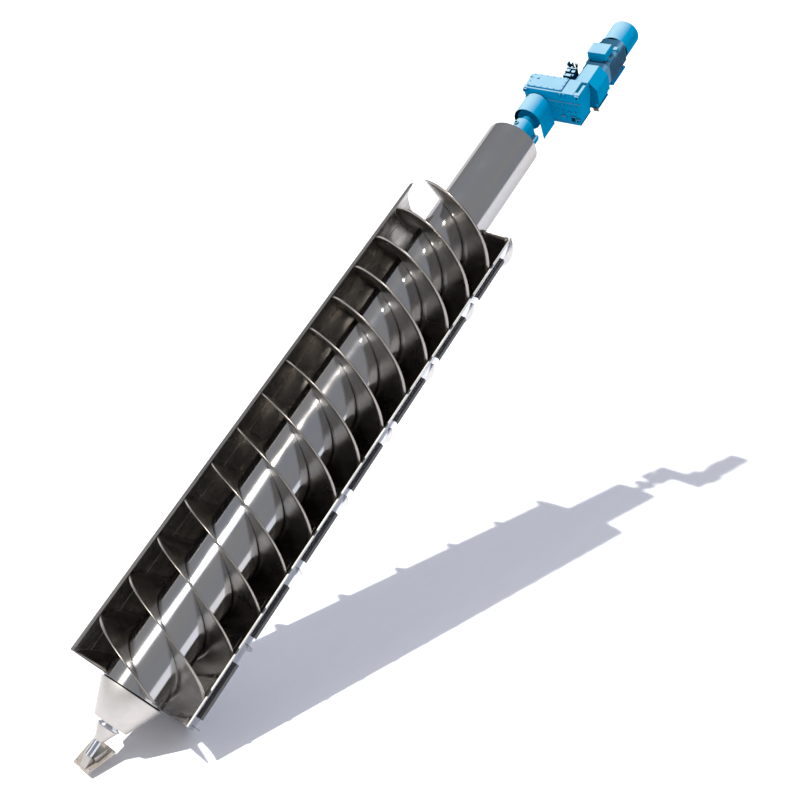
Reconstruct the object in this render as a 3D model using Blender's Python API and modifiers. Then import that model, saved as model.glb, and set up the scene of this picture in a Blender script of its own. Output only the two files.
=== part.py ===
"""Archimedes screw pump: an inclined three-start screw on a tube, lying in an open
trough, with a lower bearing on a base plate and a bearing, gearbox and motor at the
upper end.

Units are metres. The world has +Z up, and its origin is the centre of the base
plate's underside. The pump's own frame (c, a, n) has c across, a up the screw's axis
from the lower end of its tube, and n square to the axis, upwards.
"""
import math

import bmesh
import bpy
from mathutils import Matrix, Vector

INCLINATION = math.radians(29.25)
TUBE_END = Vector((0.0, 0.630, 0.508))
GAP = 0.0003
RUNNING_GAP = 0.006

TUBE_RADIUS = 0.4065
TUBE_LENGTH = 9.128
SCREW_RADIUS = 0.810
PITCH = 1.6466
FLIGHT_COUNT = 3
FLIGHT_THICKNESS = 0.014
FLIGHT_LOW = 0.030
FLIGHT_HIGH = 7.533
FLIGHT_START_ANGLE = math.radians(34.1)
STEPS_PER_TURN = 40

CONE_TOP = -0.0163
CONE_FOOT = -0.4146
CONE_FOOT_RADIUS = 0.221
NECK_RADIUS = 0.142
NECK_FOOT = -0.459
JOURNAL_RADIUS = 0.034
JOURNAL_FOOT = -0.720

HOUSING_TOP_RADIUS = 0.130
HOUSING_FOOT_RADIUS = 0.0555
HOUSING_FOOT = -0.626
BARREL_RADIUS = 0.0508
BARREL_FOOT = -0.813

PLATE_THICKNESS = 0.020
PLATE_OUTLINE = [(-0.148, -0.184), (0.116, -0.198), (0.137, 0.187), (-0.241, 0.206)]
SADDLE_HALF_WIDTH = 0.077
SADDLE_REAR = 0.115
SADDLE_TOP = 0.083
TOE_FRONT = -0.176

TROUGH_RADIUS = 0.820
TROUGH_PLATE = 0.008
TROUGH_LOW = 0.012
TROUGH_HIGH = 7.535
RIGHT_RIM = math.radians(-7.0)
LEFT_RIM = math.radians(-222.6)
RIGHT_FLANGE_REACH = 0.842
LEFT_FLANGE_REACH = 0.861

RIB_COUNT = 7
RIB_FIRST = 0.047
RIB_STEP = 1.0675
RIB_THICKNESS = 0.012
RIB_RADIUS = 0.8785
RIB_OFFSET = 0.118
RIB_TIP_ANGLE = math.radians(-17.0)
END_FLANGE_THICKNESS = 0.020
END_FLANGE_RADIUS = 0.8935
END_FLANGE_TIP_ANGLE = math.radians(-5.0)

RAIL_SHEET = 0.008
RAIL_TOP = -0.228
RAIL_OUTER = 0.832
RAIL_DEPTH = 0.062
RAIL_START_BEHIND_RIB = 0.110
RAIL_STOP_BEFORE_RIB = 0.240

UPPER_BEARING_LOW = 9.309
UPPER_BEARING_HIGH = 9.512
UPPER_BEARING_RADIUS = 0.150
UPPER_BEARING_BASE = -0.179
UPPER_BEARING_FOOT = 0.203
UPPER_SHAFT_RADIUS = 0.095
COUPLING_LOW = 9.640
COUPLING_HIGH = 9.680
COUPLING_RADIUS = 0.178
OUTPUT_SHAFT_RADIUS = 0.078

HOOD_LOW = 9.634
HOOD_RADIUS = 0.2195
HOOD_CENTRE = (-0.024, -0.016)
HOOD_SKIRT = -0.333
HOOD_SHEET = 0.006

GEARBOX_LOW = 9.984
GEARBOX_HIGH = 10.301
GEARBOX_LEFT = -0.224
GEARBOX_RIGHT = 0.703
GEARBOX_TOP = 0.280
GEARBOX_BASE = -0.289
GEARBOX_FOOT_RIGHT = 0.648
GEARBOX_FACE_STEP = 0.012
OIL_UNIT_LOW = 10.400
OIL_UNIT_HIGH = 10.620

GUARD_CENTRE = 0.598
GUARD_HIGH = 10.658
MOTOR_CENTRE = 0.561
MOTOR_HALF_WIDTH = 0.190
MOTOR_HIGH = 11.341
MOTOR_BASE = -0.228
FAN_HOOD_RADIUS = 0.2203
FAN_HOOD_HIGH = 11.732


def clear_scene():
    for item in list(bpy.data.objects):
        bpy.data.objects.remove(item, do_unlink=True)


def make_material(name, colour, roughness, metallic):
    material = bpy.data.materials.new(name)
    material.use_nodes = True
    shader = material.node_tree.nodes["Principled BSDF"]
    shader.inputs["Base Color"].default_value = (*colour, 1.0)
    shader.inputs["Roughness"].default_value = roughness
    shader.inputs["Metallic"].default_value = metallic
    material.diffuse_color = (*colour, 1.0)
    return material


def collection_named(name):
    collection = bpy.data.collections.new(name)
    bpy.context.scene.collection.children.link(collection)
    return collection


def empty_frame(name, location, tilt):
    frame = bpy.data.objects.new(name, None)
    frame.location = location
    frame.rotation_euler = (tilt, 0.0, 0.0)
    parts.objects.link(frame)
    return frame


def add_object(name, bm, material, parent=None, smooth=False):
    mesh = bpy.data.meshes.new(name)
    bm.to_mesh(mesh)
    bm.free()
    item = bpy.data.objects.new(name, mesh)
    parts.objects.link(item)
    item.data.materials.append(material)
    item.parent = parent
    if smooth:
        mesh.shade_smooth()
        mesh.set_sharp_from_angle(angle=math.radians(35.0))
    return item


def box(name, low, high, material, parent=None):
    """A box between two opposite corners."""
    low, high = Vector(low), Vector(high)
    bm = bmesh.new()
    bmesh.ops.create_cube(bm, size=1.0)
    bmesh.ops.scale(bm, vec=high - low, verts=bm.verts)
    bmesh.ops.translate(bm, vec=(low + high) / 2.0, verts=bm.verts)
    return add_object(name, bm, material, parent)


def extruded(name, outline, low, high, along, material, parent=None, smooth=False):
    """A flat outline pushed from low to high along one axis.

    The outline's two numbers are the other two axes, in x, y, z order."""
    place = {
        "x": lambda u, v, w: (w, u, v),
        "y": lambda u, v, w: (u, w, v),
        "z": lambda u, v, w: (u, v, w),
    }[along]
    bm = bmesh.new()
    face = bm.faces.new([bm.verts.new(place(u, v, low)) for u, v in outline])
    pushed = bmesh.ops.extrude_face_region(bm, geom=[face])
    moved = [item for item in pushed["geom"] if isinstance(item, bmesh.types.BMVert)]
    bmesh.ops.translate(bm, vec=place(0.0, 0.0, high - low), verts=moved)
    bmesh.ops.recalc_face_normals(bm, faces=bm.faces)
    return add_object(name, bm, material, parent, smooth)


def turned(name, profile, material, parent, closed=False, steps=48):
    """A profile of (radius, height) points turned about the local Z axis.

    The points run down the outer side, from top to bottom."""
    bm = bmesh.new()
    points = [bm.verts.new((radius, 0.0, height)) for radius, height in profile]
    for first, second in zip(points, points[1:]):
        bm.edges.new((first, second))
    if closed:
        bm.edges.new((points[-1], points[0]))
    item = add_object(name, bm, material, parent)
    screw = item.modifiers.new("turn", "SCREW")
    screw.axis = "Z"
    screw.steps = steps
    screw.render_steps = steps
    screw.use_merge_vertices = True
    screw.merge_threshold = 0.0001
    screw.use_smooth_shade = True
    return item


def cut_round(item, radius, low, high, centre, parent):
    """Cut a round hole along the pump's axis through an object."""
    bm = bmesh.new()
    bmesh.ops.create_cone(
        bm, cap_ends=True, segments=48, radius1=radius, radius2=radius, depth=high - low
    )
    bmesh.ops.translate(bm, vec=(centre[0], -centre[1], (low + high) / 2.0), verts=bm.verts)
    mesh = bpy.data.meshes.new(item.name + "_cutter")
    bm.to_mesh(mesh)
    bm.free()
    cutter = bpy.data.objects.new(item.name + "_cutter", mesh)
    cutters.objects.link(cutter)
    cutter.parent = parent
    cutter.hide_render = True
    cutter.display_type = "WIRE"
    boolean = item.modifiers.new("cut", "BOOLEAN")
    boolean.operation = "DIFFERENCE"
    boolean.object = cutter


def arc(centre, radius, start, stop, count):
    """Points (c, n) along an arc, both ends included."""
    turn = (stop - start) / count
    return [
        (
            centre[0] + radius * math.cos(start + turn * step),
            centre[1] + radius * math.sin(start + turn * step),
        )
        for step in range(count + 1)
    ]


def bent_sheet(name, inside, outside, low, high, material):
    """A bent sheet between two lines of (c, n) points, along the pump's axis."""
    return extruded(
        name, outside + inside[::-1], low, high, "y", material, pump, smooth=True
    )


def build_rotor():
    """The tube, its three flights, the lower cone and journal, and the upper shaft."""
    turned(
        "screw_tube",
        [(0.0, TUBE_LENGTH), (TUBE_RADIUS, TUBE_LENGTH), (TUBE_RADIUS, 0.0), (0.0, 0.0)],
        steel, rotor, steps=64,
    )
    root = (TUBE_RADIUS + GAP) / math.cos(math.pi / STEPS_PER_TURN)
    turns = (FLIGHT_HIGH - FLIGHT_LOW) / PITCH
    for number in range(FLIGHT_COUNT):
        angle = FLIGHT_START_ANGLE - number * math.tau / FLIGHT_COUNT
        direction = Vector((math.cos(angle), -math.sin(angle), 0.0))
        bm = bmesh.new()
        inner = bm.verts.new(direction * root)
        outer = bm.verts.new(direction * SCREW_RADIUS)
        bm.edges.new((inner, outer))
        flight = add_object(f"flight_{number + 1}", bm, flight_steel, rotor)
        flight.location.z = FLIGHT_LOW
        screw = flight.modifiers.new("helix", "SCREW")
        screw.axis = "Z"
        screw.angle = -turns * math.tau
        screw.screw_offset = turns * PITCH
        screw.steps = round(turns * STEPS_PER_TURN)
        screw.render_steps = screw.steps
        screw.use_merge_vertices = False
        solid = flight.modifiers.new("plate", "SOLIDIFY")
        solid.thickness = FLIGHT_THICKNESS
        solid.offset = 0.0
    turned(
        "lower_cone",
        [
            (0.0, -GAP), (0.380, -GAP), (0.380, CONE_TOP), (TUBE_RADIUS, CONE_TOP),
            (CONE_FOOT_RADIUS, CONE_FOOT), (0.0, CONE_FOOT),
        ],
        cone_steel, rotor, steps=64,
    )
    shoulder = CONE_FOOT - 0.020
    turned(
        "lower_journal",
        [
            (0.0, CONE_FOOT - GAP), (0.120, CONE_FOOT - GAP), (0.120, shoulder),
            (NECK_RADIUS, shoulder), (NECK_RADIUS, NECK_FOOT), (JOURNAL_RADIUS, NECK_FOOT),
            (JOURNAL_RADIUS, JOURNAL_FOOT), (0.0, JOURNAL_FOOT),
        ],
        steel, rotor,
    )
    turned(
        "upper_shaft",
        [
            (0.0, COUPLING_LOW - GAP), (UPPER_SHAFT_RADIUS, COUPLING_LOW - GAP),
            (UPPER_SHAFT_RADIUS, TUBE_LENGTH + 0.030), (0.150, TUBE_LENGTH + 0.030),
            (0.150, TUBE_LENGTH + GAP), (0.0, TUBE_LENGTH + GAP),
        ],
        drive_paint, rotor,
    )
    shaft_end = GEARBOX_LOW + GEARBOX_FACE_STEP - RUNNING_GAP
    turned(
        "drive_coupling",
        [
            (0.0, shaft_end), (OUTPUT_SHAFT_RADIUS, shaft_end),
            (OUTPUT_SHAFT_RADIUS, COUPLING_HIGH + 0.110), (0.125, COUPLING_HIGH + 0.110),
            (0.125, COUPLING_HIGH), (COUPLING_RADIUS, COUPLING_HIGH),
            (COUPLING_RADIUS, COUPLING_LOW), (0.0, COUPLING_LOW),
        ],
        drive_paint, rotor,
    )


def build_lower_bearing():
    """The base plate, its saddle and toe, and the bearing that holds the journal."""
    extruded("base_plate", PLATE_OUTLINE, 0.0, PLATE_THICKNESS, "z", dark_steel)
    barrel_end = TUBE_END + pump_matrix @ Vector((0.0, BARREL_FOOT, 0.0))
    floor = PLATE_THICKNESS + GAP
    split = barrel_end.y + 0.030
    saddle = extruded(
        "bearing_saddle",
        [(split, floor), (SADDLE_REAR, floor), (SADDLE_REAR, SADDLE_TOP), (split, SADDLE_TOP)],
        -SADDLE_HALF_WIDTH, SADDLE_HALF_WIDTH, "x", cone_steel,
    )
    cut_round(
        saddle, BARREL_RADIUS + GAP, BARREL_FOOT - 0.050, HOUSING_FOOT, (0.0, 0.0), axis_frame
    )
    face_low = barrel_end + pump_matrix @ Vector((0.0, -0.001, -BARREL_RADIUS))
    face_top = barrel_end + pump_matrix @ Vector((0.0, -0.001, 0.004))
    extruded(
        "bearing_toe",
        [
            (TOE_FRONT, floor), (split - GAP, floor), (split - GAP, face_low.z - 0.020),
            (face_low.y, face_low.z), (face_top.y, face_top.z),
        ],
        -0.050, 0.050, "x", cone_steel,
    )
    bore = JOURNAL_RADIUS + RUNNING_GAP
    housing_top = NECK_FOOT - RUNNING_GAP
    turned(
        "bearing_housing",
        [
            (HOUSING_TOP_RADIUS, housing_top), (HOUSING_FOOT_RADIUS, HOUSING_FOOT),
            (bore, HOUSING_FOOT), (bore, housing_top),
        ],
        cone_steel, axis_frame, closed=True,
    )
    pocket = JOURNAL_FOOT - RUNNING_GAP
    barrel_top = HOUSING_FOOT - GAP
    turned(
        "bearing_barrel",
        [
            (0.0, pocket), (bore, pocket), (bore, barrel_top), (BARREL_RADIUS, barrel_top),
            (BARREL_RADIUS, BARREL_FOOT), (0.0, BARREL_FOOT),
        ],
        steel, axis_frame,
    )


def rib_outline(radius, tip_angle):
    """A crescent round the shell's outside, deepest midway between the trough's rims.

    Its outer edge is a circle whose centre is offset from the screw's axis."""
    inner = TROUGH_RADIUS + TROUGH_PLATE + 0.0016
    middle = (RIGHT_RIM + LEFT_RIM) / 2.0
    steps = 36
    outer_line, inner_line = [], []
    for step in range(steps + 1):
        angle = tip_angle + 2.0 * (middle - tip_angle) * step / steps
        across = RIB_OFFSET * math.sin(angle - middle)
        reach = RIB_OFFSET * math.cos(angle - middle) + math.sqrt(radius ** 2 - across ** 2)
        outer_line.append((reach * math.cos(angle), reach * math.sin(angle)))
        inner_line.append((inner * math.cos(angle), inner * math.sin(angle)))
    return outer_line + inner_line[::-1]


def build_trough():
    """The trough's shell in strips, its rim flanges, ribs, end flange and rails."""
    seam = GAP / TROUGH_RADIUS
    bends = [math.radians(angle) for angle in (-50.0, -95.0, -140.0, -185.0)]
    edges = [RIGHT_RIM] + bends + [LEFT_RIM - seam]
    names = [
        "trough_right_wall", "trough_floor_right", "trough_floor_left", "trough_left_curve",
        "trough_left_wall",
    ]
    for name, start, stop in zip(names, edges, edges[1:]):
        inside, outside = (
            arc((0.0, 0.0), radius, start, stop + seam, 12)
            for radius in (TROUGH_RADIUS, TROUGH_RADIUS + TROUGH_PLATE)
        )
        bent_sheet(name, inside, outside, TROUGH_LOW, TROUGH_HIGH, shell_steel)
    for name, rim, side, flange_reach in (
        ("rim_flange_right", RIGHT_RIM, 1.0, RIGHT_FLANGE_REACH),
        ("rim_flange_left", LEFT_RIM, -1.0, LEFT_FLANGE_REACH),
    ):
        outward = Vector((math.cos(rim), math.sin(rim)))
        upward = Vector((-math.sin(rim), math.cos(rim))) * side
        corners = [
            outward * reach + upward * height
            for reach, height in (
                (TROUGH_RADIUS, GAP), (flange_reach, GAP),
                (flange_reach, GAP + TROUGH_PLATE), (TROUGH_RADIUS, GAP + TROUGH_PLATE),
            )
        ]
        extruded(name, corners, TROUGH_LOW, TROUGH_HIGH, "y", shell_steel, pump)
    outline = rib_outline(RIB_RADIUS, RIB_TIP_ANGLE)
    for number in range(RIB_COUNT):
        low = RIB_FIRST + RIB_STEP * number
        extruded(
            f"rib_{number + 1}", outline, low, low + RIB_THICKNESS, "y", shell_steel, pump
        )
    low = TROUGH_HIGH + GAP
    extruded(
        "end_flange", rib_outline(END_FLANGE_RADIUS, END_FLANGE_TIP_ANGLE),
        low, low + END_FLANGE_THICKNESS, "y", shell_steel, pump,
    )
    shell_reach = math.sqrt((TROUGH_RADIUS + TROUGH_PLATE) ** 2 - RAIL_TOP ** 2)
    leg = RAIL_SHEET
    section = [
        (shell_reach + GAP, RAIL_TOP), (RAIL_OUTER, RAIL_TOP),
        (RAIL_OUTER, RAIL_TOP - RAIL_DEPTH), (RAIL_OUTER - leg, RAIL_TOP - RAIL_DEPTH),
        (RAIL_OUTER - leg, RAIL_TOP - leg), (shell_reach + GAP, RAIL_TOP - leg),
    ]
    for number in range(RIB_COUNT):
        rib = RIB_FIRST + RIB_STEP * number
        extruded(
            f"rail_{number + 1}", section, rib + RAIL_START_BEHIND_RIB,
            rib + RIB_STEP - RAIL_STOP_BEFORE_RIB, "y", rail_steel, pump,
        )


def build_upper_bearing():
    """The pillow block that carries the upper shaft."""
    half = UPPER_BEARING_RADIUS
    ledge = UPPER_BEARING_BASE + 0.050
    outline = arc((0.0, 0.0), half, 0.0, math.pi, 16)
    outline += [
        (-half, ledge), (-UPPER_BEARING_FOOT, ledge),
        (-UPPER_BEARING_FOOT, UPPER_BEARING_BASE), (UPPER_BEARING_FOOT, UPPER_BEARING_BASE),
        (UPPER_BEARING_FOOT, ledge), (half, ledge),
    ]
    bearing = extruded(
        "upper_bearing", outline, UPPER_BEARING_LOW, UPPER_BEARING_HIGH, "y", drive_paint, pump
    )
    cut_round(
        bearing, UPPER_SHAFT_RADIUS + RUNNING_GAP, UPPER_BEARING_LOW - 0.050,
        UPPER_BEARING_HIGH + 0.050, (0.0, 0.0), axis_frame,
    )


def build_gearbox():
    """The shaft hood, the gearbox case with its cover and base, and the oil pump unit."""
    inside, outside = (
        [(HOOD_CENTRE[0] - radius, HOOD_SKIRT)]
        + arc(HOOD_CENTRE, radius, math.pi, 0.0, 24)
        + [(HOOD_CENTRE[0] + radius, HOOD_SKIRT)]
        for radius in (HOOD_RADIUS - HOOD_SHEET, HOOD_RADIUS)
    )
    bent_sheet("shaft_hood", inside, outside, HOOD_LOW, GEARBOX_LOW - GAP, drive_paint)
    split_low, split_high = 0.085, 0.115
    front, back = GEARBOX_LOW + GEARBOX_FACE_STEP, GEARBOX_HIGH - GEARBOX_FACE_STEP
    foot = GEARBOX_BASE + 0.030
    case = extruded(
        "gearbox_case",
        [
            (front, foot), (front, split_low), (GEARBOX_LOW, split_low),
            (GEARBOX_LOW, split_high), (front, split_high), (front, GEARBOX_TOP),
            (back, GEARBOX_TOP), (back, split_high), (GEARBOX_HIGH, split_high),
            (GEARBOX_HIGH, split_low), (back, split_low), (back, foot),
        ],
        GEARBOX_LEFT, GEARBOX_RIGHT, "x", drive_paint, pump,
    )
    for vertex in case.data.vertices:
        if vertex.co.x > 0.0 and vertex.co.z < 0.0:
            vertex.co.x = GEARBOX_FOOT_RIGHT
    box(
        "gearbox_base", (GEARBOX_LEFT, GEARBOX_LOW, GEARBOX_BASE),
        (GEARBOX_FOOT_RIGHT, GEARBOX_HIGH, foot - GAP), drive_paint, pump,
    )
    box(
        "gearbox_cover", (-0.175, GEARBOX_LOW + 0.040, GEARBOX_TOP + GAP),
        (0.395, GEARBOX_HIGH - 0.020, GEARBOX_TOP + 0.026), drive_paint, pump,
    )
    case_back = GEARBOX_HIGH + GAP
    extruded(
        "oil_pump_unit",
        [
            (case_back, 0.085), (OIL_UNIT_HIGH, 0.085), (OIL_UNIT_HIGH, 0.270),
            (OIL_UNIT_LOW, 0.270), (OIL_UNIT_LOW, 0.115), (case_back, 0.115),
        ],
        0.210, 0.380, "x", drive_paint, pump,
    )


def build_motor():
    """The coupling guard, and the motor with its terminal box, base and fan hood."""
    lean, top_half, side_half, foot_half = GUARD_CENTRE, 0.093, 0.215, 0.165
    outline = [
        (lean - top_half, 0.276), (lean - side_half, 0.138), (lean - side_half, -0.117),
        (lean - foot_half, -0.117), (lean - foot_half, -0.211), (lean + foot_half, -0.211),
        (lean + foot_half, -0.117), (lean + side_half, -0.117), (lean + side_half, 0.138),
        (lean + top_half, 0.276),
    ]
    extruded(
        "coupling_guard", outline, GEARBOX_HIGH + GAP, GUARD_HIGH, "y", drive_paint, pump
    )
    shield_high = GUARD_HIGH + 0.034
    round_part = arc((MOTOR_CENTRE, 0.0), MOTOR_HALF_WIDTH, 0.0, math.tau, 32)[:-1]
    extruded(
        "motor_end_shield", round_part, GUARD_HIGH + GAP, shield_high, "y", motor_steel, pump,
        smooth=True,
    )
    half, corner = MOTOR_HALF_WIDTH, 0.080
    body = []
    for across, up, start in ((1, 1, 0), (-1, 1, 1), (-1, -1, 2), (1, -1, 3)):
        centre = (MOTOR_CENTRE + across * (half - corner), up * (half - corner))
        turn = start * math.pi / 2.0
        body += arc(centre, corner, turn, turn + math.pi / 2.0, 4)
    extruded(
        "motor_body", body, shield_high + GAP, MOTOR_HIGH, "y", motor_steel, pump, smooth=True
    )
    base = MOTOR_BASE + 0.012
    extruded(
        "motor_base",
        [
            (MOTOR_CENTRE - 0.203, MOTOR_BASE), (MOTOR_CENTRE + 0.203, MOTOR_BASE),
            (MOTOR_CENTRE + 0.203, base), (MOTOR_CENTRE + 0.090, base),
            (MOTOR_CENTRE + 0.090, -half - GAP), (MOTOR_CENTRE - 0.090, -half - GAP),
            (MOTOR_CENTRE - 0.090, base), (MOTOR_CENTRE - 0.203, base),
        ],
        10.837, 11.260, "y", drive_paint, pump,
    )
    extruded(
        "terminal_box",
        [
            (MOTOR_CENTRE - 0.100, half + GAP), (MOTOR_CENTRE + 0.100, half + GAP),
            (MOTOR_CENTRE + 0.100, 0.215), (MOTOR_CENTRE + 0.146, 0.215),
            (MOTOR_CENTRE + 0.146, 0.341), (MOTOR_CENTRE - 0.146, 0.341),
            (MOTOR_CENTRE - 0.146, 0.215), (MOTOR_CENTRE - 0.100, 0.215),
        ],
        10.837, 11.057, "y", drive_paint, pump,
    )
    cowl = arc((MOTOR_CENTRE, 0.0), 0.185, 0.0, math.tau, 32)[:-1]
    sheet = 0.005
    extruded(
        "fan_cowl", cowl, MOTOR_HIGH + GAP, FAN_HOOD_HIGH - sheet - GAP, "y", motor_steel, pump,
        smooth=True,
    )
    hood = turned(
        "fan_hood",
        [
            (0.0, FAN_HOOD_HIGH), (FAN_HOOD_RADIUS, FAN_HOOD_HIGH),
            (FAN_HOOD_RADIUS, MOTOR_HIGH), (FAN_HOOD_RADIUS - sheet, MOTOR_HIGH),
            (FAN_HOOD_RADIUS - sheet, FAN_HOOD_HIGH - sheet), (0.0, FAN_HOOD_HIGH - sheet),
        ],
        drive_paint, axis_frame,
    )
    hood.location.x = MOTOR_CENTRE


clear_scene()
parts = collection_named("archimedes_screw_pump")
cutters = collection_named("cutters")
steel = make_material("polished_steel", (0.50, 0.50, 0.49), 0.25, 1.0)
flight_steel = make_material("flight_steel", (0.40, 0.39, 0.38), 0.30, 1.0)
cone_steel = make_material("blasted_steel", (0.66, 0.64, 0.61), 0.55, 0.6)
shell_steel = make_material("shell_steel", (0.40, 0.45, 0.52), 0.40, 0.9)
dark_steel = make_material("dark_plate", (0.14, 0.13, 0.12), 0.50, 0.8)
rail_steel = make_material("dark_rail", (0.05, 0.05, 0.05), 0.60, 0.5)
drive_paint = make_material("drive_paint", (0.03, 0.35, 0.65), 0.40, 0.0)
motor_steel = make_material("motor_paint", (0.07, 0.16, 0.29), 0.45, 0.0)

pump_matrix = Matrix.Rotation(INCLINATION, 3, "X")
pump = empty_frame("pump_frame", TUBE_END, INCLINATION)
axis_frame = empty_frame("bearing_axis", TUBE_END, INCLINATION - math.pi / 2.0)
rotor = empty_frame("screw_axis", TUBE_END, INCLINATION - math.pi / 2.0)

build_rotor()
build_lower_bearing()
build_trough()
build_upper_bearing()
build_gearbox()
build_motor()
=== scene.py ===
import math

import bmesh
import bpy
from mathutils import Matrix, Vector


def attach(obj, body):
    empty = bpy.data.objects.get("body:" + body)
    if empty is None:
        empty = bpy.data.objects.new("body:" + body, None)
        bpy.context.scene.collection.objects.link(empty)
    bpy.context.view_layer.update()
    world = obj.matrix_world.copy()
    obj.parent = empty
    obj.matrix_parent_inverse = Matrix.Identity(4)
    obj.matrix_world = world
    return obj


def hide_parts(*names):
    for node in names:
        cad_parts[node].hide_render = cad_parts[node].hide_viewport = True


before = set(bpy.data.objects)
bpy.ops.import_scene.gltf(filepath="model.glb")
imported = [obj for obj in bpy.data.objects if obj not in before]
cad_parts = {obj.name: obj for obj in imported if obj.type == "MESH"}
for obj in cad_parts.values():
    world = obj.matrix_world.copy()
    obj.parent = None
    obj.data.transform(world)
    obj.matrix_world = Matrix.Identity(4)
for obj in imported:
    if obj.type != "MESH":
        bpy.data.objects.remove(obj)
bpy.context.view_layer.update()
scene = bpy.context.scene
scene.view_settings.view_transform = "Standard"

# The camera looks down on the pump from its lower right, with a lens of 46 mm. Its place
# and turn come from the outlines of the tube, the trough and the flights.
eye = Vector((7.4960, -4.3879, 9.3869))
right, down = Vector((0.8059, 0.5920, 0.0)), Vector((0.3003, -0.4089, -0.8618))
forward = Vector((-0.5102, 0.6945, -0.5073))
camera_data = bpy.data.cameras.new("camera")
camera_data.sensor_width = 36.0
camera_data.lens = 46.35
camera_data.clip_end = 400.0
camera = bpy.data.objects.new("camera", camera_data)
turn = Matrix((right, -down, -forward)).transposed().to_4x4()
camera.matrix_world = Matrix.Translation(eye) @ turn
scene.collection.objects.link(camera)
scene.camera = camera

# Plain studio light: an even grey sky, a little cool, and a sun 67 degrees high with a crisp
# shadow. One large softbox high over the pump draws the white stripe along the tube, between
# the flights.
world = bpy.data.worlds.new("even_sky")
world.use_nodes = True
world.node_tree.nodes["Background"].inputs["Color"].default_value = (0.47, 0.484, 0.523, 1.0)
scene.world = world

key_direction = Vector((-0.263, -0.333, 1.0)).normalized()
key_data = bpy.data.lights.new("key", "SUN")
key_data.energy = 4.8
key_data.color = (1.0, 0.985, 0.955)
key_data.angle = math.radians(1.2)
key = bpy.data.objects.new("key", key_data)
key.rotation_mode = "QUATERNION"
key.rotation_quaternion = (-key_direction).to_track_quat("-Z", "Y")
scene.collection.objects.link(key)

# The pump leans 29.25 degrees. Its own frame has c across, a up the axis from the tube's
# lower end and n square to both, and every piece below is drawn there as (c, a, n).
lean = math.radians(29.25)
lay = Matrix.Translation((0.0, 0.630, 0.508)) @ Matrix.Rotation(lean, 4, "X")

softbox_data = bpy.data.lights.new("softbox", "AREA")
softbox_data.shape = "RECTANGLE"
softbox_data.size, softbox_data.size_y = 9.0, 10.0
softbox_data.energy = 620.0
softbox = bpy.data.objects.new("softbox", softbox_data)
softbox_aim, softbox_distance = Vector((0.0, 2.0, 1.5)), 25.0
softbox_direction = (lay.to_3x3() @ Vector((-0.185, 0.080, 0.980))).normalized()
softbox.location = softbox_aim + softbox_direction * softbox_distance
softbox.rotation_mode = "QUATERNION"
softbox.rotation_quaternion = (-softbox_direction).to_track_quat("-Z", "Y")
scene.collection.objects.link(softbox)
softbox.visible_camera = False

# A pale matt studio floor of power-floated concrete, a little cooler than white. It is tilted
# to the ground that the shadow falls on, passes 80 mm under the foot plate, and slopes up far
# behind the pump, to fill the view. The lowest rib's edge stands 18 mm below it.
def linear(hex_colour):
    """An sRGB colour such as "8a8884" as linear red, green, blue and alpha."""
    parts = [int(hex_colour[i:i + 2], 16) / 255.0 for i in (0, 2, 4)]
    parts = [p / 12.92 if p <= 0.04045 else ((p + 0.055) / 1.055) ** 2.4 for p in parts]
    return (*parts, 1.0)


def add_node(tree, kind, settings=None, links=None):
    """Add one shader node, set its sockets or properties, and link its inputs."""
    node = tree.nodes.new("ShaderNode" + kind)
    for key, value in (settings or {}).items():
        if isinstance(key, int) or key in node.inputs:
            node.inputs[key].default_value = value
        else:
            setattr(node, key, value)
    for key, source in (links or {}).items():
        tree.links.new(source, node.inputs[key])
    return node


# Floated concrete is chalky and even. The trowel's marks, about 140 mm wide and 830 mm long,
# are so faint that they show only in the shadow.
floor_paint = bpy.data.materials.new("pale_floated_concrete")
floor_paint.use_nodes = True
tree = floor_paint.node_tree
place = add_node(tree, "TexCoord").outputs["Object"]
marks = add_node(tree, "Mapping", {"Rotation": (0.0, 0.0, 0.9), "Scale": (3.0, 0.5, 1.0)},
                 {"Vector": place})
noise = add_node(tree, "TexNoise", {"Scale": 2.4, "Detail": 6.0, "Distortion": 1.2},
                 {"Vector": marks.outputs["Vector"]})
tone = add_node(tree, "Mix", {"data_type": "RGBA", 6: linear("ecedf3"), 7: linear("f2f3f9")},
                {0: noise.outputs["Fac"]})
shader = tree.nodes["Principled BSDF"]
tree.links.new(tone.outputs[2], shader.inputs["Base Color"])
shader.inputs["Roughness"].default_value = 0.9
shader.inputs["Specular IOR Level"].default_value = 0.0
bm = bmesh.new()
rows = [[bm.verts.new((across, *spot)) for across in (-160.0, 160.0)]
        for spot in ((60.0, 0.0), (-30.0, 0.0), (-120.0, 70.0))]
for near, far in zip(rows, rows[1:]):
    bm.faces.new((near[0], near[1], far[1], far[0]))
under_foot = Vector((0.0, 0.0, -0.121))
floor_up = Vector((-0.067, 0.164, 1.0)).to_track_quat("Z", "Y").to_matrix().to_4x4()
bmesh.ops.transform(bm, matrix=Matrix.Translation(under_foot) @ floor_up, verts=bm.verts)
floor_mesh = bpy.data.meshes.new("floor")
bm.to_mesh(floor_mesh)
bm.free()
floor_mesh.materials.append(floor_paint)
floor = bpy.data.objects.new("floor", floor_mesh)
scene.collection.objects.link(floor)

# The screw's tube: 813 mm stainless pipe, ground along its length and polished, with a plate
# set into its upper end. It carries the flights and turns with them.
tube_radius, tube_length = 0.4065, 9.128


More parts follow.
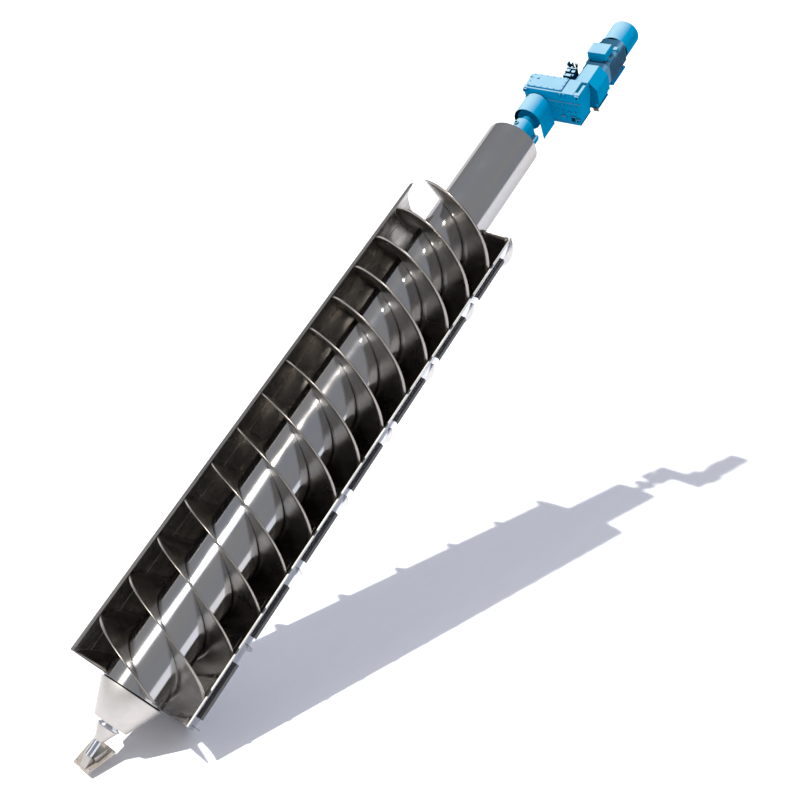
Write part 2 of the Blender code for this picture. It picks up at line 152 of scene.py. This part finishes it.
def brushed(name, warm, cool, roughness, spread, grain, depth, stretch=(1.0, 0.06, 1.0)):
    """Bare metal: fine grain along the pump, and slow changes of tint and gloss.

    The grain is given in marks a metre, and stretch draws them out along the pump. Real marks
    are a tenth of a millimetre or less, so they are drawn coarser here, to show at all. The
    tint changes every 110 mm or so and the gloss every 400 mm, as rolling and handling leave
    them."""
    material = bpy.data.materials.new(name)
    material.use_nodes = True
    tree = material.node_tree
    place = add_node(tree, "TexCoord").outputs["Object"]
    along = add_node(tree, "Mapping", {"Rotation": (-lean, 0.0, 0.0)}, {"Vector": place})
    lines = add_node(tree, "Mapping", {"Scale": stretch}, {"Vector": along.outputs["Vector"]})
    fine = add_node(tree, "TexNoise", {"Scale": grain, "Detail": 3.0},
                    {"Vector": lines.outputs["Vector"]})
    slow = add_node(tree, "TexNoise", {"Scale": 2.6, "Detail": 5.0},
                    {"Vector": along.outputs["Vector"]})
    streaks = add_node(tree, "TexNoise", {"Scale": 9.0, "Detail": 4.0},
                       {"Vector": lines.outputs["Vector"]})
    gloss = add_node(tree, "MapRange", {"From Min": 0.3, "From Max": 0.7, "To Min": roughness,
                                        "To Max": roughness + spread},
                     {"Value": slow.outputs["Fac"]})
    tint = add_node(tree, "MapRange", {"From Min": 0.35, "From Max": 0.65},
                    {"Value": streaks.outputs["Fac"]})
    tone = add_node(tree, "Mix", {"data_type": "RGBA", 6: linear(warm), 7: linear(cool)},
                    {0: tint.outputs["Result"]})
    bump = add_node(tree, "Bump", {"Strength": depth, "Distance": 0.001},
                    {"Height": fine.outputs["Fac"]})
    shader = tree.nodes["Principled BSDF"]
    shader.inputs["Metallic"].default_value = 1.0
    tree.links.new(tone.outputs[2], shader.inputs["Base Color"])
    tree.links.new(gloss.outputs["Result"], shader.inputs["Roughness"])
    tree.links.new(bump.outputs["Normal"], shader.inputs["Normal"])
    return material


def put(name, bm, materials, body, nodes=(), bevel=0.0, sharp=35.0):
    """Make a finished piece from a bmesh drawn in the pump's frame."""
    bmesh.ops.remove_doubles(bm, verts=bm.verts, dist=0.00001)
    bmesh.ops.recalc_face_normals(bm, faces=bm.faces)
    bmesh.ops.transform(bm, matrix=lay, verts=bm.verts)
    mesh = bpy.data.meshes.new(name)
    bm.to_mesh(mesh)
    bm.free()
    for material in materials:
        mesh.materials.append(material)
    mesh.shade_smooth()
    mesh.set_sharp_from_angle(angle=math.radians(sharp))
    piece = bpy.data.objects.new(name, mesh)
    scene.collection.objects.link(piece)
    if bevel:
        rounding = piece.modifiers.new("rounded_edges", "BEVEL")
        rounding.width = bevel
        rounding.segments = 2
        rounding.limit_method = "ANGLE"
        rounding.angle_limit = math.radians(40.0)
        rounding.harden_normals = True
    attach(piece, body)
    if nodes:
        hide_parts(*nodes)
    return piece


def turn_outline(bm, outline, steps=96, across=0.0, material=0):
    """Turn an outline of (radius, height) points about an axis along the pump."""
    known = set(bm.faces)
    points = [bm.verts.new((across + radius, height, 0.0)) for radius, height in outline]
    edges = [bm.edges.new(pair) for pair in zip(points, points[1:])]
    bmesh.ops.spin(bm, geom=points + edges, cent=(across, 0.0, 0.0), axis=(0.0, 1.0, 0.0),
                   angle=math.tau, steps=steps, use_merge=True)
    for face in bm.faces:
        if face not in known:
            face.material_index = material


# Polished pipe mirrors dully, through grinding marks drawn 1 mm wide. The specular tint holds
# the mirror back at the tube's edges, where it would catch the white floor.
polished_tube = brushed("polished_stainless_pipe", "ada9a5", "a5a7aa", 0.08, 0.08, 900.0, 0.08)
polished_shader = polished_tube.node_tree.nodes["Principled BSDF"]
polished_shader.inputs["Specular Tint"].default_value = linear("cbc8c5")
bm = bmesh.new()
turn_outline(bm, [
    (0.0, tube_length - 0.012), (0.392, tube_length - 0.012), (0.392, tube_length - 0.003),
    (0.395, tube_length), (0.4035, tube_length), (tube_radius, tube_length - 0.003),
    (tube_radius, 0.002), (0.4045, 0.0), (0.0, 0.0),
], steps=128)
put("tube", bm, [polished_tube], "screw", ["screw_tube"])

# Three flights of 14 mm stainless plate, pressed to a left-hand helix and welded to the tube.
# Their roots sink 0.3 mm into it, so that no gap shows, and no fillet is drawn.
screw_radius, pitch, plate_thickness = 0.810, 1.6466, 0.014
flight_root, strips = tube_radius - 0.0003, 6
flight_low, flight_high, flight_start = 0.030, 7.533, math.radians(34.1)
turns = (flight_high - flight_low) / pitch
steps_per_turn = 60
flight_steps = round(turns * steps_per_turn)
# Satin plate spreads a light into a soft patch. Its grain is drawn 2.5 mm wide.
satin_plate = brushed("satin_stainless_plate", "a19b94", "938f8a", 0.26, 0.08, 400.0, 0.004,
                      (1.0, 0.3, 1.0))
# The ground edge is a thin pale line wherever it faces the sky. Its marks are drawn 1 mm wide.
ground_edge = brushed("ground_steel_edge", "968f86", "868078", 0.28, 0.05, 900.0, 0.05)
for number in range(3):
    angle = flight_start - number * math.tau / 3.0
    facing = Vector((math.cos(angle), 0.0, math.sin(angle)))
    lift = Vector((0.0, flight_low, 0.0))
    bm = bmesh.new()
    spokes = [
        bm.verts.new(facing * (flight_root + (screw_radius - flight_root) * step / strips) + lift)
        for step in range(strips + 1)
    ]
    edges = [bm.edges.new(pair) for pair in zip(spokes, spokes[1:])]
    bmesh.ops.spin(bm, geom=spokes + edges, cent=(0.0, 0.0, 0.0), axis=(0.0, 1.0, 0.0),
                   dvec=(0.0, turns * pitch / flight_steps, 0.0), angle=-turns * math.tau,
                   steps=flight_steps, use_merge=False)
    flight = put(f"flight_plate_{number + 1}", bm, [satin_plate, ground_edge], "screw",
                 [f"flight_{number + 1}"])
    plate = flight.modifiers.new("plate", "SOLIDIFY")
    plate.thickness = plate_thickness
    plate.offset = 0.0
    plate.material_offset_rim = 1

# The lower cone closes the tube's foot: thin stainless plate rolled to a cone and glass-bead
# blasted to a pale satin. A dark slit is left between its rim and the tube.
# Bead blasting leaves an even pale grey with no mirror image, only a broad sheen. Its dimples
# are drawn 2.4 mm wide.
blasted = brushed("bead_blasted_stainless", "c3beb8", "bcb9b5", 0.44, 0.08, 420.0, 0.35,
                  (1.0, 1.0, 1.0))
# Painted shade: bare steel deep in the slit gets hardly any light, so it is given a near-black
# colour and reads as a black line.
slit_shadow = brushed("unlit_bare_steel", "1c1a18", "141210", 0.6, 0.1, 300.0, 0.1)
bm = bmesh.new()
turn_outline(bm, [(0.0, -0.001), (0.380, -0.001), (0.380, -0.0163)], material=1)
turn_outline(bm, [
    (0.380, -0.0163), (0.403, -0.0163), (0.4065, -0.0195), (0.4065, -0.024),
    (0.2225, -0.4126), (0.219, -0.4146), (0.0, -0.4146),
])
put("foot_cone", bm, [blasted, slit_shadow], "screw", ["lower_cone"])

# The journal under the cone: a turned neck ring on a 68 mm stub, as it came off the lathe.
# Turned steel shows crisp stripes of light. Its tool marks run round the pump, and are drawn
# coarser than the real ones, 7 mm long and 1.4 mm wide.
turned_steel = brushed("turned_stainless", "bcbdbf", "b2b6bc", 0.16, 0.06, 700.0, 0.1,
                       (0.2, 1.0, 0.2))
bm = bmesh.new()
turn_outline(bm, [
    (0.0, -0.4149), (0.120, -0.4149), (0.120, -0.4346), (0.139, -0.4346), (0.142, -0.4376),
    (0.142, -0.456), (0.139, -0.459), (0.034, -0.459), (0.034, -0.718), (0.032, -0.720),
    (0.0, -0.720),
], steps=64)
put("foot_journal", bm, [turned_steel], "screw", ["lower_journal"])

# The foot bearing: a blasted conical housing over a turned barrel, lying in a saddle with a
# toe block in front, on a hot-rolled plate with four zinc-plated bolts.
bm = bmesh.new()
turn_outline(bm, [
    (0.040, -0.468), (0.044, -0.465), (0.127, -0.465), (0.130, -0.469), (0.0555, -0.624),
    (0.053, -0.626), (0.040, -0.626), (0.040, -0.468),
], steps=64)
put("foot_housing", bm, [blasted], "station", ["bearing_housing"])
bm = bmesh.new()
turn_outline(bm, [
    (0.0, -0.726), (0.040, -0.726), (0.040, -0.6263), (0.0485, -0.6263), (0.0508, -0.629),
    (0.0508, -0.809), (0.047, -0.813), (0.0, -0.813),
], steps=64)
put("foot_barrel", bm, [turned_steel], "station", ["bearing_barrel"])


def softened(node):
    """A merged copy of a CAD node's mesh in the pump's frame, ready to be rounded."""
    bm = bmesh.new()
    bm.from_mesh(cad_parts[node].data)
    bmesh.ops.remove_doubles(bm, verts=bm.verts, dist=0.00002)
    bmesh.ops.dissolve_limit(bm, angle_limit=math.radians(1.0), verts=bm.verts,
                             edges=bm.edges)
    bmesh.ops.transform(bm, matrix=lay.inverted(), verts=bm.verts)
    return bm


def hex_bolt(bm, spot, facing, width, material=0):
    """A washer and a hexagon head, standing on a spot and facing outwards."""
    stand = Matrix.Translation(spot) @ Vector(facing).to_track_quat("Z", "Y").to_matrix().to_4x4()
    known = set(bm.faces)
    for segments, radius, low, high in (
        (16, width * 0.95, 0.0, 0.12), (6, width * 0.56, 0.12, 0.75),
    ):
        bmesh.ops.create_cone(
            bm, cap_ends=True, segments=segments, radius1=radius, radius2=radius * 0.96,
            depth=(high - low) * width,
            matrix=stand @ Matrix.Translation((0.0, 0.0, (low + high) / 2.0 * width)))
    for face in bm.faces:
        if face not in known:
            face.material_index = material


for node in ("bearing_saddle", "bearing_toe"):
    put("foot_" + node.split("_")[1], softened(node), [blasted], "station",
        [node], bevel=0.004)
# Hot-rolled plate is mottled warm grey, dull where scale is left, with pits drawn 17 mm wide.
rolled_plate = brushed("hot_rolled_plate", "bcb4ab", "a69e95", 0.42, 0.16, 60.0, 0.4,
                       (1.0, 1.0, 1.0))
# Zinc plating is a pale, slightly cloudy silver, with a grain drawn 3 mm wide.
zinc = brushed("zinc_plated_bolt", "d5d5d4", "c8c9ca", 0.30, 0.1, 300.0, 0.1)
put("foot_plate", softened("base_plate"), [rolled_plate], "station",
    ["base_plate"], bevel=0.003)
bm = bmesh.new()
plate_top = 0.0202
for across, along in ((-0.136, -0.150), (0.085, -0.159), (0.1065, 0.159), (-0.195, 0.170)):
    hex_bolt(bm, (across, along, plate_top), (0.0, 0.0, 1.0), 0.019)
bmesh.ops.transform(bm, matrix=lay.inverted(), verts=bm.verts)
put("foot_bolts", bm, [zinc], "station")

# The trough: 8 mm stainless plate rolled to a little more than half a circle round the
# screw. Inside it is wet and stained dark, outside it is bare and bright.
trough_radius, shell_thickness = 0.820, 0.008
trough_low, trough_high = 0.012, 7.535
right_rim, left_rim = math.radians(-7.0), math.radians(-222.6)
# Wet, stained steel is nearly black in the pockets, with smeared brown reflections and
# ripples 11 mm wide. The stain is a film and no metal, so Metallic stays below 1.
wet_steel = brushed("stained_wet_stainless", "aea9a3", "8d8984", 0.20, 0.12, 90.0, 0.06,
                    (1.0, 0.3, 1.0))
wet_steel.node_tree.nodes["Principled BSDF"].inputs["Metallic"].default_value = 0.76
# The bare outside of the rolled shell is a cool, bright mirror, a little hazy, with a grain
# drawn 2 mm wide.
shell_steel = brushed("rolled_stainless_shell", "bcbfc4", "b4b9c1", 0.13, 0.08, 500.0, 0.08)
# Cut edges have stained to a dull brown, with a grain drawn 3 mm wide.
raw_edge = brushed("stained_cut_edge", "7a6a55", "5f5344", 0.45, 0.1, 300.0, 0.2)
bm = bmesh.new()
start = Vector((math.cos(right_rim), 0.0, math.sin(right_rim)))
corners = [
    bm.verts.new(start * reach + Vector((0.0, height, 0.0)))
    for reach, height in (
        (trough_radius, trough_low), (trough_radius + shell_thickness, trough_low),
        (trough_radius + shell_thickness, trough_high), (trough_radius, trough_high),
    )
]
face = bm.faces.new(corners)
bmesh.ops.spin(bm, geom=[face] + corners + list(face.edges), cent=(0.0, 0.0, 0.0),
               axis=(0.0, 1.0, 0.0), angle=right_rim - left_rim, steps=96, use_merge=False)
for face in bm.faces:
    centre = face.calc_center_median()
    reach = math.hypot(centre.x, centre.z)
    if reach < trough_radius + 0.001:
        face.material_index = 0
    elif reach > trough_radius + shell_thickness - 0.001:
        face.material_index = 1
    else:
        face.material_index = 2
put("trough_shell", bm, [wet_steel, shell_steel, raw_edge], "station", [
    "trough_right_wall", "trough_floor_right", "trough_floor_left", "trough_left_curve",
    "trough_left_wall",
])

# Two long weld seams join the trough's rolled sheets: thin bright beads on the dark inside,
# 10 mm across and brushed to the same pale grey as blasted steel.
seam_radius, seam_bead = trough_radius + 0.0008, 0.005


def rod(bm, start, end, radius, segments=20, material=0):
    """A round bar, pipe or boss from one point to another."""
    start, end = Vector(start), Vector(end)
    stand = Matrix.Translation((start + end) / 2.0) @ (end - start).to_track_quat(
        "Z", "Y").to_matrix().to_4x4()
    for vert in bmesh.ops.create_cone(bm, cap_ends=True, segments=segments, radius1=radius,
                                      radius2=radius, depth=(end - start).length,
                                      matrix=stand)["verts"]:
        for face in vert.link_faces:
            face.material_index = material


bm = bmesh.new()
for seam in (-65.0, 176.5):
    across = seam_radius * math.cos(math.radians(seam))
    height = seam_radius * math.sin(math.radians(seam))
    rod(bm, (across, trough_low + 0.002, height), (across, trough_high - 0.002, height),
        seam_bead, segments=8)
put("trough_seams", bm, [blasted], "station")

# Flat bars along both rims, seven ribs round the outside and an end flange, all of stainless
# plate and welded on. Their CAD shapes are right and only get a finish.
# Laser-cut plate is smooth and pale, and its broad faces flash white in the sun. Its grain is
# drawn 3 mm wide, as the bars' is.
rib_plate = brushed("laser_cut_stainless", "bdb9b4", "b5b4b3", 0.17, 0.08, 300.0, 0.1)
# The rim bars are as rolled: a dull mid grey without glints.
rim_bar = brushed("bare_flat_bar", "8c8a86", "767473", 0.52, 0.10, 300.0, 0.1)


def dress(node, material):
    """Give a CAD node its finish."""
    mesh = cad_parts[node].data
    for index in range(len(mesh.materials)):
        mesh.materials[index] = material


for node in ("rim_flange_left", "rim_flange_right"):
    dress(node, rim_bar)
for number in range(7):
    dress(f"rib_{number + 1}", rib_plate)
dress("end_flange", rib_plate)

# Seven rails along the trough's right side, one after each rib: steel strip folded to an angle
# and painted with black bitumen.
# Bitumen dries to a thick, nearly matt coat, lumpy every 14 mm and greyer on the lumps.
bitumen = bpy.data.materials.new("black_bitumen_paint")
bitumen.use_nodes = True
tree = bitumen.node_tree
place = add_node(tree, "TexCoord").outputs["Object"]
lumps = add_node(tree, "TexNoise", {"Scale": 70.0, "Detail": 4.0}, {"Vector": place})
tone = add_node(tree, "Mix", {"data_type": "RGBA", 6: linear("232425"), 7: linear("4c4b49")},
                {0: lumps.outputs["Fac"]})
bump = add_node(tree, "Bump", {"Strength": 0.5, "Distance": 0.002},
                {"Height": lumps.outputs["Fac"]})
shader = tree.nodes["Principled BSDF"]
shader.inputs["Roughness"].default_value = 0.55
tree.links.new(tone.outputs[2], shader.inputs["Base Color"])
tree.links.new(bump.outputs["Normal"], shader.inputs["Normal"])
for number in range(7):
    dress(f"rail_{number + 1}", bitumen)

# The upper bearing: a cast iron pillow block on two bolted feet, with packing plates under
# their outer ends and a bored boss on its crown. Like the whole drive it is sprayed with enamel
# that has lost its gloss outdoors.


def enamel(name, colour, sun_facing_colour, roughness):
    """Sprayed enamel: full colour on its sides, and painted sunlight where it faces the sun.

    Faces turned to the sun take the sun-facing colour, in patches of about 200 mm: light and
    shade painted into the colour. Real orange peel has dents of 1 to 3 mm, and they are drawn 4
    mm wide."""
    material = bpy.data.materials.new(name)
    material.use_nodes = True
    tree = material.node_tree
    coordinates = add_node(tree, "TexCoord").outputs
    place = coordinates["Object"]
    clouds = add_node(tree, "TexNoise", {"Scale": 5.0, "Detail": 5.0}, {"Vector": place})
    peel = add_node(tree, "TexNoise", {"Scale": 260.0, "Detail": 2.0}, {"Vector": place})
    # Painted light and shade: how far a face turns towards the sun sets how much of the
    # sun-facing colour it takes.
    toward_sun = add_node(tree, "VectorMath", {"operation": "DOT_PRODUCT", 1: key_direction},
                      {0: coordinates["Normal"]})
    patchy = add_node(tree, "Math", {"operation": "MULTIPLY_ADD", 1: 0.16},
                      {0: clouds.outputs["Fac"], 2: toward_sun.outputs["Value"]})
    painted_sun = add_node(tree, "MapRange", {"From Min": 0.65, "From Max": 1.08},
                     {"Value": patchy.outputs["Value"]})
    tone = add_node(tree, "Mix", {"data_type": "RGBA", 6: linear(colour), 7: linear(sun_facing_colour)},
                    {0: painted_sun.outputs["Result"]})
    gloss = add_node(tree, "MapRange", {"To Min": roughness - 0.05, "To Max": roughness + 0.08},
                     {"Value": clouds.outputs["Fac"]})
    bump = add_node(tree, "Bump", {"Strength": 0.15, "Distance": 0.001},
                    {"Height": peel.outputs["Fac"]})
    shader = tree.nodes["Principled BSDF"]
    shader.inputs["Specular IOR Level"].default_value = 0.0
    tree.links.new(tone.outputs[2], shader.inputs["Base Color"])
    tree.links.new(gloss.outputs["Result"], shader.inputs["Roughness"])
    tree.links.new(bump.outputs["Normal"], shader.inputs["Normal"])
    return material


# The drive's bright blue, with a painted highlight that turns it pale sky blue where it faces the
# sun.
blue_enamel = enamel("blue_drive_enamel", "007ea9", "85a5b5", 0.42)
# Painted shade: a dark blue for recesses and for faces that the sun never reaches.
painted_shade_enamel = enamel("shaded_blue_enamel", "003a52", "004c6a", 0.50)
# Painted shade: inside hoods and holes the blue is painted black-blue, for the unlit shade there.
bore_shadow = enamel("unlit_blue_bore", "06202c", "0a2a38", 0.7)


def block(bm, low, high, material=0):
    """A plain block between two opposite corners, ready to be bevelled."""
    size = Vector(high) - Vector(low)
    stand = Matrix.Translation((Vector(low) + Vector(high)) / 2.0) @ Matrix.Diagonal((*size, 1.0))
    for vert in bmesh.ops.create_cube(bm, size=1.0, matrix=stand)["verts"]:
        for face in vert.link_faces:
            face.material_index = material


crown = 0.148
bm = softened("upper_bearing")
rod(bm, (-0.045, 9.40, crown), (-0.045, 9.40, crown + 0.024), 0.034)
# The boss's bore is a dark disc of painted shade.
rod(bm, (-0.045, 9.40, crown + 0.0245), (-0.045, 9.40, crown + 0.0255), 0.019, material=1)
block(bm, (0.150, 9.320, -0.206), (0.203, 9.500, -0.178))
block(bm, (-0.203, 9.320, -0.206), (-0.150, 9.500, -0.178))
# Painted shade: the block's broad front faces, turned away from the sun, take the dark blue.
for face in bm.faces:
    if face.normal.y < -0.7 and face.calc_area() > 0.001:
        face.material_index = 2
for across in (-0.176, 0.176):
    for along in (9.350, 9.470):
        hex_bolt(bm, (across, along, -0.128), (0.0, 0.0, 1.0), 0.024)
put("pillow_block", bm, [blue_enamel, bore_shadow, painted_shade_enamel], "station",
    ["upper_bearing"], bevel=0.006)

# The upper shaft and the coupling that turn with the screw: turned steel, each with a flange
# and a ring of bolts, one on the tube's end and one inside the hood.
# Their enamel is a deeper blue than the casings'.
shaft_enamel = enamel("blue_shaft_enamel", "005c80", "1a7ba4", 0.40)
bm = bmesh.new()
turn_outline(bm, [
    (0.0, 9.128), (0.150, 9.128), (0.150, 9.152), (0.144, 9.158), (0.095, 9.158),
    (0.095, 9.640), (0.0, 9.640),
], steps=64)
for step in range(8):
    angle = (step + 0.5) / 8.0 * math.tau
    hex_bolt(bm, (0.123 * math.cos(angle), 9.158, 0.123 * math.sin(angle)),
             (0.0, 1.0, 0.0), 0.016)
put("shaft", bm, [shaft_enamel], "screw", ["upper_shaft"])
bm = bmesh.new()
turn_outline(bm, [
    (0.0, 9.640), (0.172, 9.640), (0.178, 9.646), (0.178, 9.674), (0.172, 9.680),
    (0.125, 9.680), (0.125, 9.785), (0.120, 9.790), (0.078, 9.790), (0.078, 9.976),
    (0.0, 9.976),
], steps=64)
for step in range(10):
    angle = step / 10.0 * math.tau
    hex_bolt(bm, (0.148 * math.cos(angle), 9.640, 0.148 * math.sin(angle)),
             (0.0, -1.0, 0.0), 0.016)
put("coupling", bm, [shaft_enamel], "screw", ["drive_coupling"])

# The hood over the coupling: 6 mm sheet rolled over the shaft, with a straight skirt down each
# side, sprayed blue outside, with painted shade in black-blue on its inside.
bm = softened("shaft_hood")
for face in bm.faces:
    centre = face.calc_center_median()
    if (centre.x + 0.024) * face.normal.x + (centre.z + 0.016) * face.normal.z < -0.05:
        face.material_index = 1
put("hood", bm, [blue_enamel, bore_shadow], "station", ["shaft_hood"],
    bevel=0.0015)

# The gearbox: an iron casting split along a raised flange, on a flat base, with a bored lug at
# three corners of its face, two rows of bolts, an oil glass low down and a bolted cover on top.
face_at, top, lid_top = 9.984, 0.280, 0.306
bm = softened("gearbox_case")
# On the face: two short ribs, the bolts, a boss, the oil glass in its frame, and the lugs.
for across in (0.388, 0.452):
    block(bm, (across - 0.007, 9.970, 0.207), (across + 0.007, face_at, 0.279))
for across, height in ((0.303, 0.066), (0.400, 0.066), (0.504, 0.066), (0.603, 0.066),
                       (0.291, -0.056), (0.393, -0.056), (0.487, -0.056), (0.581, -0.056)):
    hex_bolt(bm, (across, face_at, height), (0.0, -1.0, 0.0), 0.020)
block(bm, (0.351, 9.962, -0.205), (0.414, face_at, -0.140))
block(bm, (0.498, 9.974, -0.225), (0.579, face_at, -0.132))
block(bm, (0.508, 9.972, -0.215), (0.569, 9.9745, -0.142), material=1)
for across, height in ((-0.191, 0.250), (0.666, 0.250), (0.616, -0.197)):
    block(bm, (across - 0.033, 9.966, height - 0.034), (across + 0.033, face_at, height + 0.028))
    # Each lug's bore is a dark disc of painted shade.
    rod(bm, (across, 9.966, height), (across, 9.9645, height), 0.017, material=1)
# On top: three raised plates with a recess between them, drawn as thin dark plates of painted
# shade, and a lug at the rear left.
block(bm, (0.415, 9.990, top), (0.600, 10.290, top + 0.007))
block(bm, (0.660, 9.990, top), (0.700, 10.210, top + 0.012))
block(bm, (0.600, 10.268, top), (0.700, 10.296, top + 0.010))
block(bm, (-0.224, 10.215, 0.250), (-0.180, 10.270, 0.300))
block(bm, (0.604, 10.055, top - 0.001), (0.656, 10.264, top + 0.0012), material=2)
block(bm, (0.652, 10.214, top - 0.001), (0.702, 10.264, top + 0.0012), material=2)
put("gearbox", bm, [blue_enamel, bore_shadow, painted_shade_enamel], "station",
    ["gearbox_case"], bevel=0.005)
bm = softened("gearbox_base")
# Painted shade: the foot's faces turned across to the right, away from the sun, take the dark
# blue.
for face in bm.faces:
    if face.normal.x > 0.7:
        face.material_index = 1
put("gearbox_foot", bm, [blue_enamel, painted_shade_enamel], "station",
    ["gearbox_base"], bevel=0.004)
bm = softened("gearbox_cover")
for step in range(6):
    for along in (10.036, 10.269):
        hex_bolt(bm, (-0.155 + step * 0.106, along, lid_top), (0.0, 0.0, 1.0), 0.014)
for across in (-0.160, 0.380):
    for along in (10.113, 10.192):
        hex_bolt(bm, (across, along, lid_top), (0.0, 0.0, 1.0), 0.014)
rod(bm, (-0.071, 10.194, lid_top), (-0.071, 10.194, lid_top + 0.016), 0.021)
put("gearbox_lid", bm, [blue_enamel], "station", ["gearbox_cover"],
    bevel=0.003)

# The oil unit behind the gearbox: a pump, valve blocks and three filters on a shelf, with dark
# pipes between them. Much of it is open air, so it is drawn as its separate parts.
# Its enamel is nearly navy, and faces turned to the sun are painted pale, as highlight.
oil_enamel = enamel("deep_blue_enamel", "00354e", "93b4c8", 0.42)
shelf = 0.100
bm = bmesh.new()
block(bm, (0.212, 10.302, 0.086), (0.378, 10.618, shelf))
rod(bm, (0.268, 10.302, 0.160), (0.268, 10.400, 0.160), 0.044)
block(bm, (0.214, 10.402, 0.150), (0.376, 10.452, 0.236))
block(bm, (0.226, 10.462, 0.196), (0.300, 10.512, 0.268))
block(bm, (0.316, 10.474, 0.170), (0.374, 10.520, 0.250))
for across in (0.238, 0.296, 0.352):
    rod(bm, (across, 10.566, shelf), (across, 10.566, 0.222), 0.023)
    rod(bm, (across, 10.566, 0.222), (across, 10.566, 0.250), 0.016)
block(bm, (0.214, 10.534, 0.222), (0.376, 10.552, 0.264))
rod(bm, (0.345, 10.303, 0.236), (0.362, 10.420, 0.254), 0.009, material=1)
rod(bm, (0.240, 10.426, 0.236), (0.252, 10.540, 0.256), 0.008, material=1)
rod(bm, (0.365, 10.500, 0.170), (0.365, 10.500, shelf), 0.010, material=1)
rod(bm, (0.300, 10.590, shelf), (0.300, 10.612, 0.230), 0.012, material=1)
rod(bm, (0.232, 10.600, shelf), (0.232, 10.600, 0.330), 0.020)
rod(bm, (0.290, 10.606, shelf), (0.290, 10.606, 0.316), 0.013)
rod(bm, (0.340, 10.606, shelf), (0.340, 10.606, 0.300), 0.013, material=1)
block(bm, (0.214, 10.566, 0.270), (0.305, 10.584, 0.310), material=1)
rod(bm, (0.370, 10.440, 0.110), (0.368, 10.625, 0.300), 0.008, material=1)
put("oil_unit", bm, [oil_enamel, bore_shadow], "station",
    ["oil_pump_unit"], bevel=0.002)

# The guard over the motor coupling: blue sheet folded to a flat top, two slopes and two sides,
# on a narrower foot with a strip along it. A bitumen-painted block packs its lower front corner.
bm = softened("coupling_guard")
# Painted shade: the guard's faces turned down the pump, towards the gearbox, take the deeper
# blue.
for face in bm.faces:
    if face.normal.y < -0.7:
        face.material_index = 1
block(bm, (0.700, 10.288, -0.252), (0.790, 10.300, -0.190), material=2)
block(bm, (0.700, 10.335, -0.230), (0.778, 10.645, -0.213), material=1)
put("guard", bm, [blue_enamel, shaft_enamel, bitumen], "station",
    ["coupling_guard"], bevel=0.004)

# The motor: a cast housing with twelve cooling fins on each flank, on a flat base, with a
# lifting eye on its end shield, a terminal box on top, and a sheet hood over its fan.
motor_across, flank = 0.561, 0.1945
fin_count, fin_step, fin_stand, fin_half = 12, 0.024, 0.0085, 0.003
# Slate blue on the housing. Its upper side, where it faces the sun, is painted a darker navy as
# shade.
slate_enamel = enamel("slate_motor_enamel", "5884a0", "1c4259", 0.42)
# Painted light: the base is given a brighter blue, as if the sun lit it, though the housing
# shades it.
lit_base_enamel = enamel("bright_blue_enamel", "009bd0", "2fa3d8", 0.42)
bm = softened("motor_body")
for along in (10.885, 11.115):
    block(bm, (motor_across + 0.112, along, 0.116), (motor_across + 0.176, along + 0.064, 0.200),
          material=1)
for step in range(fin_count):
    for side in (-flank, flank):
        across, height = motor_across + side, (step - (fin_count - 1) / 2.0) * fin_step
        block(bm, (across - fin_stand, 10.830, height - fin_half),
              (across + fin_stand, 11.320, height + fin_half))
put("motor", bm, [slate_enamel, blue_enamel], "station", ["motor_body"],
    bevel=0.001)
bm = softened("motor_end_shield")
rod(bm, (motor_across - 0.020, 10.675, 0.180), (motor_across - 0.020, 10.675, 0.216), 0.016)
# The lifting eye's opening is a dark disc of painted shade.
rod(bm, (motor_across - 0.020, 10.667, 0.224), (motor_across - 0.020, 10.683, 0.224), 0.022,
    material=1)
put("motor_shield", bm, [blue_enamel, bore_shadow], "station",
    ["motor_end_shield"], bevel=0.004)
# The fan cowl is all dark blue: painted shade under the fan hood.
put("motor_cowl", softened("fan_cowl"), [painted_shade_enamel], "station",
    ["fan_cowl"], bevel=0.002)
bm = softened("motor_base")
for along in (10.870, 11.228):
    for across in (-0.186, 0.186):
        hex_bolt(bm, (motor_across + across, along, -0.196), (0.0, 0.0, 1.0), 0.024)
put("motor_feet", bm, [lit_base_enamel], "station", ["motor_base"], bevel=0.004)
bm = softened("terminal_box")
for across in (-0.151, 0.151):
    for along in (10.885, 11.005):
        rod(bm, (motor_across + across * 0.96, along, 0.272),
            (motor_across + across, along, 0.272), 0.016)
# Painted shade: the box's lowest faces, where it meets the housing, are black-blue.
for face in bm.faces:
    if face.calc_center_median().z < 0.2155:
        face.material_index = 1
put("terminals", bm, [blue_enamel, bore_shadow], "station", ["terminal_box"],
    bevel=0.008)
bm = bmesh.new()
turn_outline(bm, [
    (0.0, 11.732), (0.206, 11.732), (0.2175, 11.727), (0.2203, 11.716), (0.2203, 11.341),
    (0.2153, 11.341),
], steps=96, across=motor_across)
# Painted shade: the hood's inside is black-blue.
turn_outline(bm, [
    (0.2153, 11.341), (0.2153, 11.712), (0.2130, 11.722), (0.2060, 11.727), (0.0, 11.727),
], steps=96, across=motor_across, material=1)
put("fan_hood_sheet", bm, [blue_enamel, bore_shadow], "station", ["fan_hood"])
